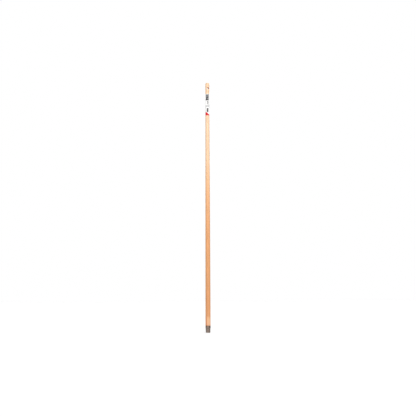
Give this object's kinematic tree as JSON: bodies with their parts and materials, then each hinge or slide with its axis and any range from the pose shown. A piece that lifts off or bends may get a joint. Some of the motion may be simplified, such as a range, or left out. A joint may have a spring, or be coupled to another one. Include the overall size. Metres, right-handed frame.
{
  "type": "roller extension pole",
  "caption": "Tapered wooden extension pole for a paint roller, with a cast threaded tip, a hang hole at the thin end and a wrap-round label.",
  "frame": {"origin": "centre of the threaded tip's end face", "axes": "+Z along the pole's axis towards the hang hole; +Y along the hang hole"},
  "size_m": [0.0248, 0.0246, 1.2192],
  "materials": {
    "wood": "clear satin varnish on turned pale softwood, paler towards the hang hole",
    "cast_tip": "dull grey die casting, as cast, crests rubbed brighter",
    "pin_steel": "plain bright wire",
    "label_film": "white printed film with charcoal, grey and red areas"
  },
  "bodies": {
    "root": {"pole_shaft": "wood", "threaded_tip": "cast_tip", "retaining_pins": "pin_steel", "label": "label_film"}
  },
  "joints": []
}
